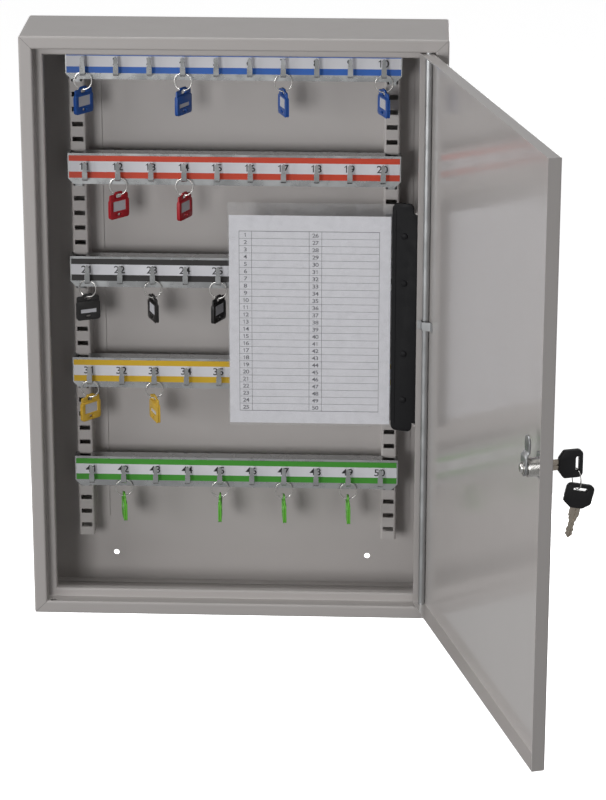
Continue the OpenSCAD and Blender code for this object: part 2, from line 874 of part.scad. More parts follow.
module index_strip() {
    corner = 4;
    half = index_h / 2;
    notch_u = ear_r + 1.4;
    barrel_half = ear_reach - 0.2;
    color("dimgray")
        at_index()
            rotate([0, 0, -index_lean])
                difference() {
                    union() {
                        translate([0, 0, -barrel_half]) cylinder(r = knuckle_r, h = 2 * barrel_half);
                        translate([0, index_strip_t / 2, 0])
                            rotate([90, 0, 0])
                                linear_extrude(index_strip_t)
                                    union() {
                                        translate([-notch_u - overrun, -barrel_half])
                                            square([notch_u + overrun, 2 * barrel_half]);
                                        translate([-index_strip_w, corner - half])
                                            square([index_strip_w - notch_u, 2 * (half - corner)]);
                                        translate([corner - index_strip_w, -half])
                                            square([index_strip_w - notch_u - 2 * corner, 2 * half]);
                                        for (
                                            u = [corner - index_strip_w, -notch_u - corner],
                                            z = [-1, 1]
                                        )
                                            translate([u, z * (half - corner)]) circle(corner);
                                    }
                    }
                    for (side = [-1, 1])
                        translate([0, 0, side * barrel_half])
                            translate([0, 0, -pin_depth - overrun])
                                cylinder(d = index_pin_d + 2 * index_pin_fit, h = 2 * (pin_depth + overrun));
                    for (z = rivet_rows)
                        translate([-rivet_u, 0, z * index_h])
                            rod_y(rivet_d / 2 + contact_gap, -index_strip_t, index_strip_t);
                }
}

module index_rivets() {
    head_r = rivet_d / 2 + 1.6;
    head_t = 1;
    back_y = index_strip_t / 2 + sleeve_t + 2 * contact_gap;
    color("dimgray")
        at_index()
            rotate([0, 0, -index_lean])
                for (z = rivet_rows)
                    translate([-rivet_u, 0, z * index_h]) {
                        rod_y(head_r, -index_strip_t / 2 - head_t, -index_strip_t / 2);
                        rod_y(rivet_d / 2, -index_strip_t / 2 - head_t / 2, back_y + head_t / 2);
                        rod_y(head_r, back_y, back_y + head_t);
                    }
}

// The sleeve's edge lies along the back of the leaning strip, and its pocket is parallel to the
// cabinet's front.
margin_y = index_strip_t / 2 + contact_gap + sleeve_t / 2;
sleeve_bend_u = index_strip_w + 0.3;
pocket_x = margin_y * sin(index_lean) - sleeve_bend_u * cos(index_lean);
pocket_y = margin_y * cos(index_lean) + sleeve_bend_u * sin(index_lean);
margin_end = [
    margin_y * sin(index_lean) - (index_strip_w - margin_w) * cos(index_lean),
    margin_y * cos(index_lean) + (index_strip_w - margin_w) * sin(index_lean)
];
pocket_seam = 2;

module index_sleeve() {
    cavity_t = sheet_t + 4 * contact_gap;
    cavity_w = sheet_w + 1;
    path = [[pocket_x - pocket_w, pocket_y], [pocket_x, pocket_y], margin_end];
    color("gainsboro", 0.5)
        at_index()
            difference() {
                translate([0, 0, -sleeve_h / 2])
                    linear_extrude(sleeve_h)
                        polygon(folded(path, sleeve_t, sleeve_t));
                translate([
                    pocket_x - (pocket_w + cavity_w) / 2, pocket_y - cavity_t / 2,
                    pocket_seam - sleeve_h / 2
                ])
                    cube([cavity_w, cavity_t, sleeve_h]);
                rotate([0, 0, -index_lean])
                    for (z = rivet_rows)
                        translate([-rivet_u, 0, z * index_h])
                            rod_y(rivet_d / 2 + contact_gap, 0, 2 * index_strip_t);
            }
}

module index_sheet() {
    color("white")
        at_index()
            translate([
                pocket_x - (pocket_w + sheet_w) / 2, pocket_y - sheet_t / 2,
                pocket_seam + 2 * contact_gap - sleeve_h / 2
            ])
                cube([sheet_w, sheet_t, sheet_h]);
}

// Rings and tags. A ring rests in its hook's valley, and a tag rests on its ring.
ring_inner_r = ring_r - ring_wire / 2;
ring_sag = ring_inner_r - sqrt(pow(ring_inner_r, 2) - pow(hook_w / 2, 2));
ring_top_above_bar = hook_base + bar_t + ring_wire / 2 + ring_sag + ring_gap;
tag_hang = tag_hole_h / 2 - ring_wire / 2 - ring_gap;

module at_ring(h) {
    hook_no = h[0];
    translate([
        hook_x(hook_column(hook_no)), valley_y, row_z(hook_row(hook_no)) + ring_top_above_bar - ring_r
    ])
        children();
}

module ring(h) {
    color("silver")
        at_ring(h)
            rotate([90, 0, h[1]])
                rotate_extrude()
                    translate([ring_r, 0]) circle(ring_wire / 2, $fn = 16);
}

// A tag in its own frame: the middle of its hole is the origin, and its faces look along Y
module tag_body() {
    corner = 3.5;
    body_top = -tag_hole_h / 2 - 0.8;
    bottom = tag_hole_drop - tag_h;
    translate([0, tag_t / 2, 0])
        rotate([90, 0, 0])
            linear_extrude(tag_t)
                union() {
                    translate([-tag_w / 2, bottom + corner])
                        square([tag_w, body_top - bottom - 2 * corner]);
                    translate([corner - tag_w / 2, bottom])
                        square([tag_w - 2 * corner, body_top - bottom]);
                    for (x = [-1, 1], z = [bottom + corner, body_top - corner])
                        translate([x * (tag_w / 2 - corner), z]) circle(corner);
                }
}

module tag_tab() {
    reach = 3.2;
    shoulder = tag_hole_drop - 2.2;
    side = tag_w / 2 - 0.6;
    base = -tag_hole_h / 2 - 3;
    translate([0, tag_tab_t / 2, 0])
        rotate([90, 0, 0])
            linear_extrude(tag_tab_t)
                polygon([
                    [-side, base], [-side, shoulder - 1.5], [1.5 - side, shoulder],
                    [-reach - 1.8, shoulder + 0.3], [-reach, tag_hole_drop], [reach, tag_hole_drop],
                    [reach + 1.8, shoulder + 0.3], [side - 1.5, shoulder],
                    [side, shoulder - 1.5], [side, base]
                ]);
}

module tag_shape() {
    hole_reach = (tag_hole_l - tag_hole_h) / 2;
    window_w = tag_w - 7.6;
    window_h = 9.4;
    window_z = tag_hole_drop - tag_h + 7;
    slot_face_h = 3.6;
    recess = 0.6;
    difference() {
        union() {
            tag_body();
            tag_tab();
        }
        for (x = [-1, 1])
            translate([x * hole_reach, 0, 0]) rod_y(tag_hole_h / 2, -tag_t, tag_t);
        translate([-hole_reach, -tag_t, -tag_hole_h / 2])
            cube([2 * hole_reach, 2 * tag_t, tag_hole_h]);
        translate([-window_w / 2, -tag_t / 2 - overrun, window_z])
            cube([window_w, overrun + recess, window_h]);
        translate([-window_w / 2, tag_t / 2 - recess, window_z])
            cube([window_w, overrun + recess, slot_face_h]);
    }
}

module tag(h) {
    color(TAG_COLOURS[hook_row(h[0])])
        at_ring(h)
            translate([0, 0, -ring_r - tag_hang])
                rotate([0, 0, h[1] + h[2]])
                    tag_shape();
}

casing();
back_panel();
upright_left();
upright_right();
for (i = [1:row_count])
    key_bar(i - 1);
number_strips();
hinge_rod();
index_ears();
index_pins();
door_panel();
hinge_clip();
lock_barrel();
lock_nut();
lock_plug();
lock_cam();
cam_washer();
cam_screw();
key_blade();
key_bow();
key_ring();
spare_key_blade();
spare_key_bow();
index_strip();
index_rivets();
index_sleeve();
index_sheet();
for (h = HANGING) {
    ring(h);
    tag(h);
}
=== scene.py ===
"""Visual model of a wall key cabinet, laid out as an add-on and run as a script."""

import json
import math

import bmesh
import bpy
from mathutils import Matrix, Vector


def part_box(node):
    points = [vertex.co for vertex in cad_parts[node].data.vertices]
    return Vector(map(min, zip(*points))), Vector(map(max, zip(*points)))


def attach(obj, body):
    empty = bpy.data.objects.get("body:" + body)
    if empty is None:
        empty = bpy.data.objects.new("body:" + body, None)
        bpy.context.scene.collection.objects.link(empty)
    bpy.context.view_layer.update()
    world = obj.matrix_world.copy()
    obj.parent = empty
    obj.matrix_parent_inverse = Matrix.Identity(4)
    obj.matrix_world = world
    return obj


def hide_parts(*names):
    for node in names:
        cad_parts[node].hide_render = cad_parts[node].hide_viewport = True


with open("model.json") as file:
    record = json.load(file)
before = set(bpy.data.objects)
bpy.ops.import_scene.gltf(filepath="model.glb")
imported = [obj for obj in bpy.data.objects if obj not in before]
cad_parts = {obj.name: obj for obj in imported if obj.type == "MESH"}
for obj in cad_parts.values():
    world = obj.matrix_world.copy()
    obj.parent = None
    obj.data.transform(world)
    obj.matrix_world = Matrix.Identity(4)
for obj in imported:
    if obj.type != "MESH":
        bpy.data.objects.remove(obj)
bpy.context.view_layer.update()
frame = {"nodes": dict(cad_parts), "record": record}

bl_info = {
    "name": "Wall key cabinet",
    "version": (1, 0, 0),
    "blender": (4, 5, 0),
    "location": "View3D > Sidebar > Key cabinet",
    "description": "Builds the finishes and the fine pieces of a wall key cabinet",
    "category": "Object",
}

MM = 0.001

NODES = frame["nodes"]
JOINTS = {j["name"]: j for j in frame["record"]["behaviour"]["joints"]}

# Places taken from the frame.
CASE_LOW, CASE_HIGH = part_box("casing")
HALF_W = CASE_HIGH.x
HALF_H = CASE_HIGH.z
FRONT_Y = CASE_LOW.y
HINGE = Vector(JOINTS["door_open"]["pos_m"])
DOOR_ANGLE = -math.radians(JOINTS["door_open"]["range_deg"][0])
DOOR = Matrix.Translation(HINGE) @ Matrix.Rotation(DOOR_ANGLE, 4, "Z") @ Matrix.Translation(-HINGE)
LOCK = DOOR @ Matrix.Translation(DOOR.inverted() @ Vector(JOINTS["lock_turn"]["pos_m"]))
INDEX = Matrix.Translation(Vector(JOINTS["index_swing"]["pos_m"]))

# Stands a flat outline up: x stays, y becomes up, and its front faces the viewer.
UPRIGHT = Matrix.Rotation(math.radians(90), 4, "X")

# Bars, hooks and labels, in mm.
HOOKS = 10
ROWS = 5
HOOK_PITCH = 30
LABEL_BANDS = (5.8, 11.6, 21.6, 26.8)
LABEL_PROUD = 0.3
NUMERAL_H = 6.8
NUMERAL_BASE = 13.4
NUMERAL_SHIFT = -0.8

# Hook number: turn of the tag about the vertical, in degrees. Past 90 its slotted side shows.
TAG_TURNS = {
    1: 52, 4: -121, 7: -69, 10: -67, 12: 46, 14: 63, 21: -156, 23: -66, 25: 64,
    31: 47, 33: 114, 42: -79, 45: -88, 47: -84, 49: -85,
}
TAG_SLOTS = ("tag_blue", "tag_red", "tag_black", "tag_yellow", "tag_green")

RING_R = 7.9
RING_WIRE = (0.95, 0.7)
TAG_HANG = 0.9


# ---------------------------------------------------------------- shader maths


class Value:
    """A shader value or socket that takes Python arithmetic."""

    def __init__(self, shader, socket):
        self.shader = shader
        self.socket = socket

    def math(self, operation, *others):
        return self.shader.node("ShaderNodeMath", {"operation": operation}, [self, *others])

    def __add__(self, other):
        return self.math("ADD", other)

    __radd__ = __add__

    def __mul__(self, other):
        return self.math("MULTIPLY", other)

    __rmul__ = __mul__

    def __sub__(self, other):
        return self.math("SUBTRACT", other)

    def __rsub__(self, other):
        return self.shader.node("ShaderNodeMath", {"operation": "SUBTRACT"}, [other, self])

    def __gt__(self, other):
        return self.math("GREATER_THAN", other)

    def __lt__(self, other):
        return self.math("LESS_THAN", other)

    def __abs__(self):
        return self.math("ABSOLUTE")


class Shader:
    """One material's node tree, around a principled shader."""

    def __init__(self, name, **constants):
        old = bpy.data.materials.get(name)
        if old:
            bpy.data.materials.remove(old)
        self.material = bpy.data.materials.new(name)
        self.material.use_nodes = True
        self.tree = self.material.node_tree
        self.surface = self.tree.nodes["Principled BSDF"]
        self.set(**constants)
        coordinates = self.tree.nodes.new("ShaderNodeTexCoord")
        self.place = Value(self, coordinates.outputs["Object"])

    def node(self, kind, settings, inputs, output=0):
        """A node of any kind: its settings first, then the values or links of its sockets."""
        made = self.tree.nodes.new(kind)
        for key, value in settings.items():
            setattr(made, key, value)
        pairs = inputs.items() if isinstance(inputs, dict) else enumerate(inputs)
        for key, value in pairs:
            self.feed(made.inputs[key], value)
        return Value(self, made.outputs[output])

    def feed(self, socket, value):
        if isinstance(value, Value):
            self.tree.links.new(value.socket, socket)
        elif value is not None:
            socket.default_value = value

    def set(self, **inputs):
        """Sets or links the shader's own sockets, named with underscores for spaces."""
        for key, value in inputs.items():
            socket = self.surface.inputs[key.replace("_", " ")]
            if key == "Base_Color" and not isinstance(value, Value):
                value = (*value, 1)
            self.feed(socket, value)

    def noise(self, size_mm, detail=2.0, stretch=(1, 1, 1)):
        """Noise whose grain has about that size."""
        scaled = self.node(
            "ShaderNodeMapping", {}, {"Vector": self.place, "Scale": stretch}
        )
        return self.node(
            "ShaderNodeTexNoise",
            {},
            {"Vector": scaled, "Scale": 1 / (size_mm * MM), "Detail": detail},
        )

    def cells(self, size_mm):
        return self.node(
            "ShaderNodeTexVoronoi",
            {"feature": "F1"},
            {"Vector": self.place, "Scale": 1 / (size_mm * MM)},
        )

    def axes(self):
        split = self.tree.nodes.new("ShaderNodeSeparateXYZ")
        self.tree.links.new(self.place.socket, split.inputs[0])
        return [Value(self, s) for s in split.outputs]

    def mix(self, factor, low, high):
        """A blend of two colours."""
        low = low if isinstance(low, Value) else (*low, 1)
        high = high if isinstance(high, Value) else (*high, 1)
        return self.node(
            "ShaderNodeMix",
            {"data_type": "RGBA"},
            {0: factor, 6: low, 7: high},
            output=2,
        )

    def span(self, value, low, high, to_low, to_high):
        return self.node(
            "ShaderNodeMapRange",
            {},
            {
                "Value": value, "From Min": low, "From Max": high,
                "To Min": to_low, "To Max": to_high,
            },
        )

    def bump(self, height, depth_mm, strength=1.0):
        normal = self.node(
            "ShaderNodeBump",
            {},
            {"Height": height, "Distance": depth_mm * MM, "Strength": strength},
        )
        self.set(Normal=normal)


def shade(colour, amount):
    return tuple(c * amount for c in colour)


# ---------------------------------------------------------------- finishes


def powder_paint(name, colour, roughness=0.38, peel_depth=0.02, coat=0.3, seams=False):
    """Semi-gloss powder paint: a fine orange peel, soft tone changes and a few specks."""
    s = Shader(name, Coat_Weight=coat, Coat_Roughness=0.12, Specular_IOR_Level=0.45)
    tone = s.noise(140, 2)
    grime = s.noise(26, 4)
    speck = s.noise(0.55, 1) > 0.70
    base = s.mix(tone, shade(colour, 0.965), shade(colour, 1.03))
    base = s.mix(s.span(grime, 0.52, 0.8, 0, 0.12), base, shade(colour, 0.92))
    base = s.mix(speck * 0.15, base, shade(colour, 0.84))
    peel = s.noise(1.1, 2)
    height = peel
    if seams:
        x, y, z = s.axes()
        across = HALF_W - abs(x)
        down = HALF_H - abs(z)
        line = (abs(across - down) < 0.28 * MM) * (y < FRONT_Y + 1.4 * MM) * (across < 12.6 * MM)
        base = s.mix(line * 0.75, base, shade(colour, 0.35))
        height = peel - line * 6
    s.set(Base_Color=base, Roughness=s.span(grime, 0.3, 0.7, roughness - 0.03, roughness + 0.04))
    s.bump(height, peel_depth, 0.5)
    return s.material


def zinc_plate(name, colour, roughness=0.3, grain=(0.06, 1, 1)):
    """Bright zinc plate on rolled sheet: long faint grain, dull patches and a bluish cast."""
    s = Shader(name, Metallic=1.0)
    grain_lines = s.noise(0.6, 3, grain)
    patch = s.noise(16, 3)
    flake = s.cells(2.6)
    base = s.mix(patch, shade(colour, 0.86), shade(colour, 1.06))
    base = s.mix(s.span(grain_lines, 0.35, 0.75, 0, 0.35), base, shade(colour, 0.78))
    rough = s.span(patch, 0.3, 0.7, roughness - 0.07, roughness + 0.1) + grain_lines * 0.08
    s.set(Base_Color=base, Roughness=rough)
    s.bump(grain_lines + flake * 0.25, 0.012, 0.5)
    return s.material


def nickel_plate(name, colour, roughness=0.16):
    """Polished plate with hairline scratches."""
    s = Shader(name, Metallic=1.0)
    hair = s.noise(0.25, 2, (1, 1, 0.08))
    haze = s.noise(5, 2)
    base = s.mix(haze, shade(colour, 0.9), colour)
    s.set(Base_Color=base, Roughness=s.span(haze, 0.3, 0.7, roughness - 0.05, roughness + 0.08))
    s.bump(hair, 0.004, 0.4)
    return s.material


def moulded(name, colour, roughness=0.4, grain_mm=0.45, shine=0.5):
    """Moulded plastic with a fine spark-eroded grain and rubbed, shinier patches."""
    s = Shader(name, Specular_IOR_Level=shine)
    grain = s.noise(grain_mm, 2)
    rubbed = s.noise(8, 3)
    base = s.mix(rubbed, shade(colour, 0.92), shade(colour, 1.08))
    base = s.mix(s.span(grain, 0.55, 0.8, 0, 0.2), base, tuple(min(1, c * 1.5 + 0.01) for c in colour))
    s.set(
        Base_Color=base,
        Roughness=s.span(rubbed, 0.35, 0.7, roughness - 0.08, roughness + 0.08),
    )
    s.bump(grain, 0.02, 0.5)
    return s.material


def printed_paper(name, colour, roughness=0.55):
    """Coated paper: a faint fibre cloud and a very fine tooth."""
    s = Shader(name)
    cloud = s.noise(6, 4)
    fibre = s.noise(0.35, 2, (1, 1, 0.3))
    base = s.mix(cloud, shade(colour, 0.965), colour)
    s.set(Base_Color=base, Roughness=s.span(fibre, 0.3, 0.7, roughness - 0.05, roughness + 0.05))
    s.bump(fibre, 0.01, 0.3)
    return s.material


def ink(name, colour):
    s = Shader(name)
    s.set(Base_Color=s.mix(s.noise(0.8, 2), colour, tuple(c + 0.03 for c in colour)), Roughness=0.6)
    return s.material


def clear_film(name, colour, cover=0.03):
    """Clear film: mostly see-through, with soft cockling."""
    s = Shader(name, Roughness=0.1, Specular_IOR_Level=0.5, IOR=1.45)
    cockle = s.noise(34, 2, (1, 1, 0.55))
    smear = s.noise(9, 3)
    s.set(
        Base_Color=s.mix(smear, shade(colour, 0.94), colour),
        Alpha=s.span(smear, 0.4, 0.75, cover, cover + 0.04),
    )
    s.bump(cockle, 0.5, 0.3)
    return s.material


# ---------------------------------------------------------------- mesh helpers


def finish_piece(name, mesh, material, body, matrix=None, replaced=(), smooth=True):
    """Puts a mesh in its place and makes it a piece that rides on a body."""
    if matrix is not None:
        mesh.transform(matrix)
    for one in material if isinstance(material, (list, tuple)) else [material]:
        mesh.materials.append(one)
    old = bpy.data.objects.get(name)
    if old:
        bpy.data.objects.remove(old)
    piece = bpy.data.objects.new(name, mesh)
    bpy.context.scene.collection.objects.link(piece)
    if smooth:
        mesh.shade_smooth()
        sharpen(mesh)
    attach(piece, body)
    if replaced:
        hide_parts(*replaced)
    return piece


def sharpen(mesh, angle=math.radians(32)):
    """Keeps edges above an angle sharp."""
    bm = bmesh.new()
    bm.from_mesh(mesh)
    for edge in bm.edges:
        edge.smooth = edge.is_manifold and edge.calc_face_angle(0) < angle
    bm.to_mesh(mesh)
    bm.free()


def tidy(bm, distance=0.002 * MM):
    bmesh.ops.remove_doubles(bm, verts=bm.verts, dist=distance)
    bmesh.ops.recalc_face_normals(bm, faces=bm.faces)


def to_mesh(bm, name):
    mesh = bpy.data.meshes.new(name)
    bm.to_mesh(mesh)
    bm.free()
    return mesh


def joined(name, meshes):
    """One mesh from several. Each may come with its material's number."""
    bm = bmesh.new()
    for item in meshes:
        mesh, number = item if isinstance(item, tuple) else (item, 0)
        before = len(bm.faces)
        bm.from_mesh(mesh)
        bm.faces.ensure_lookup_table()
        for face in bm.faces[before:]:
            face.material_index = number
        bpy.data.meshes.remove(mesh)
    return to_mesh(bm, name)


def rounded(corners, radius, steps=5):
    """An outline with its corners rounded; radius may be one number or one for each corner."""
    radii = radius if isinstance(radius, (list, tuple)) else [radius] * len(corners)
    points = []
    count = len(corners)
    for i, (corner, r) in enumerate(zip(corners, radii)):
        here = Vector(corner)
        before = (Vector(corners[i - 1]) - here).normalized()
        after = (Vector(corners[(i + 1) % count]) - here).normalized()
        if r <= 0:
            points.append(tuple(here))
            continue
        half = before.angle(after) / 2
        centre = here + (before + after).normalized() * (r / math.sin(half))
        start = here + before * (r / math.tan(half)) - centre
        end = here + after * (r / math.tan(half)) - centre
        turn = start.angle_signed(end)
        for k in range(steps + 1):
            spoke = start.copy()
            spoke.rotate(Matrix.Rotation(-turn * k / steps, 2))
            points.append(tuple(centre + spoke))
    return points


def box_outline(x0, y0, x1, y1, radius=0.0, steps=5):
    return rounded([(x0, y0), (x1, y0), (x1, y1), (x0, y1)], radius, steps)


def slab(outline, thickness):
    """A sharp-edged sheet in mm, centred on z = 0."""
    points = [p for k, p in enumerate(outline) if p != outline[k - 1]]
    bm = bmesh.new()
    face = bm.faces.new([bm.verts.new((x * MM, y * MM, -thickness / 2 * MM)) for x, y in points])
    made = bmesh.ops.extrude_face_region(bm, geom=[face])
    lifted = [v for v in made["geom"] if isinstance(v, bmesh.types.BMVert)]
    bmesh.ops.translate(bm, verts=lifted, vec=(0, 0, thickness * MM))
    bmesh.ops.recalc_face_normals(bm, faces=bm.faces)
    return to_mesh(bm, "slab")


def round_outline(x, y, r, steps=24):
    return [
        (x + r * math.cos(2 * math.pi * k / steps), y + r * math.sin(2 * math.pi * k / steps))
        for k in range(steps)
    ]


def plate(name, outline, thickness, edge=0.2, holes=(), z=0.0):
    """A flat plate in mm with rounded edges and holes, centred on z."""
    curve = bpy.data.curves.new(name, "CURVE")
    curve.dimensions = "2D"
    curve.fill_mode = "BOTH"
    curve.extrude = max(thickness / 2 - edge, 0.001)
    curve.bevel_depth = edge
    curve.bevel_resolution = 1
    curve.offset = -edge
    for loop in (outline, *holes):
        spline = curve.splines.new("POLY")
        spline.points.add(len(loop) - 1)
        for point, (x, y) in zip(spline.points, loop):
            point.co = (x, y, 0, 1)
        spline.use_cyclic_u = True
    holder = bpy.data.objects.new(name, curve)
    bpy.context.scene.collection.objects.link(holder)
    mesh = bpy.data.meshes.new_from_object(holder)
    bpy.data.objects.remove(holder)
    bpy.data.curves.remove(curve)
    bm = bmesh.new()
    bm.from_mesh(mesh)
    bmesh.ops.translate(bm, verts=bm.verts, vec=(0, 0, z))
    bmesh.ops.scale(bm, verts=bm.verts, vec=(MM, MM, MM))
    tidy(bm)
    bm.to_mesh(mesh)
    bm.free()
    return mesh


def turned(name, profile, steps=40):
    """A piece turned on a lathe: (radius, y) points in mm, about the y axis."""
    bm = bmesh.new()
    verts = [bm.verts.new((r * MM, y * MM, 0)) for r, y in profile]
    edges = [bm.edges.new(pair) for pair in zip(verts, verts[1:])]
    bmesh.ops.spin(
        bm, geom=verts + edges, cent=(0, 0, 0), axis=(0, 1, 0), dvec=(0, 0, 0),
        angle=2 * math.pi, steps=steps, use_merge=True, use_duplicate=False,
    )
    tidy(bm, 0.0005 * MM)
    return to_mesh(bm, name)


def block(x0, y0, z0, x1, y1, z1, edge=0.15):
    """A block in mm with rounded edges."""
    bm = bmesh.new()
    bmesh.ops.create_cube(bm, size=1)
    bmesh.ops.scale(bm, vec=((x1 - x0) * MM, (y1 - y0) * MM, (z1 - z0) * MM), verts=bm.verts)
    bmesh.ops.translate(
        bm, verts=bm.verts, vec=((x0 + x1) / 2 * MM, (y0 + y1) / 2 * MM, (z0 + z1) / 2 * MM)
    )
    if edge:
        bmesh.ops.bevel(
            bm, geom=bm.edges[:], offset=edge * MM, segments=2, profile=0.5,
            affect="EDGES", material=-1,
        )
    return to_mesh(bm, "block")


def coil(name, radius, wire, turns, gap=0.04, steps_per_turn=48):
    """A ring wound from flat wire about the y axis, with its ends left open."""
    radial, axial = wire
    rise = (axial + gap) * (turns - 1)
    bm = bmesh.new()
    bmesh.ops.create_grid(bm, x_segments=1, y_segments=1, size=0.5)
    bmesh.ops.scale(bm, vec=(radial * MM, axial * MM, 1), verts=bm.verts)
    bmesh.ops.bevel(
        bm, geom=bm.verts[:], offset=min(wire) * 0.28 * MM, segments=2, profile=0.5,
        affect="VERTICES", material=-1,
    )
    bmesh.ops.translate(bm, verts=bm.verts, vec=(radius * MM, -rise / 2 * MM, 0))
    steps = int(steps_per_turn * turns)
    bmesh.ops.spin(
        bm, geom=bm.verts[:] + bm.edges[:] + bm.faces[:], cent=(0, 0, 0), axis=(0, 1, 0),
        dvec=(0, rise / steps * MM, 0), angle=2 * math.pi * turns, steps=steps,
        use_merge=False, use_duplicate=False,
    )
    tidy(bm)
    return to_mesh(bm, name)


def glyph(figure, height, widen, embolden):
    """One figure in mm, standing on y = 0 and centred on x = 0."""
    if figure == "1":
        flag = [
            (0.11, 0), (0.11, 1), (0.03, 1), (-0.05, 0.9), (-0.24, 0.79), (-0.24, 0.67),
            (-0.03, 0.77), (-0.03, 0),
        ]
        return slab([(x * height, y * height) for x, y in flag], 0.024)
    curve = bpy.data.curves.new("figure", "FONT")
    curve.body = figure
    curve.size = height / 0.7
    curve.extrude = 0.012
    curve.offset = embolden * height
    curve.resolution_u = 3
    curve.align_x = "CENTER"
    holder = bpy.data.objects.new("figure", curve)
    bpy.context.scene.collection.objects.link(holder)
    mesh = bpy.data.meshes.new_from_object(holder)
    bpy.data.objects.remove(holder)
    bpy.data.curves.remove(curve)
    bm = bmesh.new()
    bm.from_mesh(mesh)
    bmesh.ops.scale(bm, verts=bm.verts, vec=(MM * widen, MM, MM))
    tidy(bm, 0.0004 * MM)
    bm.to_mesh(mesh)
    bm.free()
    return mesh


def lettering(text, height, widen=1.1, embolden=0.015):
    """A number in mm, its figures evenly spaced."""
    advance = 0.78 * height
    figures = []
    for k, figure in enumerate(text):
        mesh = glyph(figure, height, widen, embolden)
        figures.append(moved(mesh, (k - (len(text) - 1) / 2) * advance))
    return joined("number", figures)


def moved(mesh, x=0.0, y=0.0, z=0.0):
    mesh.transform(Matrix.Translation((x * MM, y * MM, z * MM)))
    return mesh


def stood(mesh):
    mesh.transform(UPRIGHT)
    return mesh


def hook_name(kind, number):
    return f"{kind}_{number:02d}"


def dress(material, *names):
    """Gives CAD nodes a finish and leaves their shape alone."""
    for name in names:
        mesh = NODES[name].data
        mesh.materials.clear()
        mesh.materials.append(material)


# ---------------------------------------------------------------- properties


def colour_property(name, description, default):
    return bpy.props.FloatVectorProperty(
        name=name, description=description, default=default, size=3, min=0, max=1, subtype="COLOR"
    )


class CabinetFinish(bpy.types.PropertyGroup):
    """Colours of the cabinet's finishes."""

    paint: colour_property("Paint", "Powder paint of the casing and door", (0.475, 0.449, 0.437))
    zinc: colour_property("Zinc", "Plate on the bars and small steel pieces", (0.45, 0.46, 0.465))
    nickel: colour_property("Nickel", "Plate on the lock and keys", (0.58, 0.57, 0.55))
    black: colour_property("Black plastic", "Index strip and key bows", (0.010, 0.010, 0.011))
    paper: colour_property("Paper", "Index sheet and number strips", (0.76, 0.76, 0.80))


class RowColours(bpy.types.PropertyGroup):
    """Colours of the rows' number strips and tags."""

    label_1: colour_property("Label 1", "Stripe on the first bar", (0.02, 0.13, 0.52))
    label_2: colour_property("Label 2", "Stripe on the second bar", (0.62, 0.055, 0.02))
    label_3: colour_property("Label 3", "Stripe on the third bar", (0.016, 0.014, 0.014))
    label_4: colour_property("Label 4", "Stripe on the fourth bar", (0.68, 0.43, 0.02))
    label_5: colour_property("Label 5", "Stripe on the fifth bar", (0.05, 0.30, 0.025))
    tag_blue: colour_property("Blue tag", "Tags on the first bar", (0.012, 0.085, 0.36))
    tag_red: colour_property("Red tag", "Tags on the second bar", (0.42, 0.008, 0.018))
    tag_black: colour_property("Black tag", "Tags on the third bar", (0.012, 0.011, 0.011))
    tag_yellow: colour_property("Yellow tag", "Tags on the fourth bar", (0.72, 0.46, 0.055))
    tag_green: colour_property("Green tag", "Tags on the fifth bar", (0.13, 0.48, 0.045))


class TagSizes(bpy.types.PropertyGroup):
    """Sizes of a key tag, in millimetres."""

    width: bpy.props.FloatProperty(name="Width", description="Width of a tag", default=22.6)
    height: bpy.props.FloatProperty(name="Height", description="Height of a tag", default=25.0)
    thickness: bpy.props.FloatProperty(
        name="Thickness", description="Thickness of a tag's body", default=3.2
    )


# ---------------------------------------------------------------- operators


class KEYCABINET_OT_steelwork(bpy.types.Operator):
    """Paint the casing, uprights and door, and plate the bars and rod"""

    bl_idname = "keycabinet.steelwork"
    bl_label = "Steelwork"

    def execute(self, context):
        finish = context.scene.cabinet_finish
        paint = powder_paint("casing_paint", tuple(finish.paint), seams=True)
        dress(paint, "casing", "back_panel", "upright_left", "upright_right", "index_ears")
        dress(powder_paint("door_paint", tuple(finish.paint), 0.2, 0.004, 0.7), "door_panel")
        zinc = zinc_plate("bar_zinc", tuple(finish.zinc), 0.22)
        dress(zinc, *[f"key_bar_{row}" for row in range(1, ROWS + 1)])
        dress(zinc_plate("rod_zinc", tuple(finish.zinc), 0.3, (1, 1, 0.05)), "hinge_rod")
        dress(
            zinc_plate("fitting_zinc", tuple(finish.zinc), 0.32),
            "hinge_clip", "index_pins", "lock_nut",
        )
        return {"FINISHED"}

    @staticmethod
    def slot_of(name):
        for sub in frame["record"]["subparts"]:
            if sub["node"] == name:
                return sub["material_slot"]
        return None


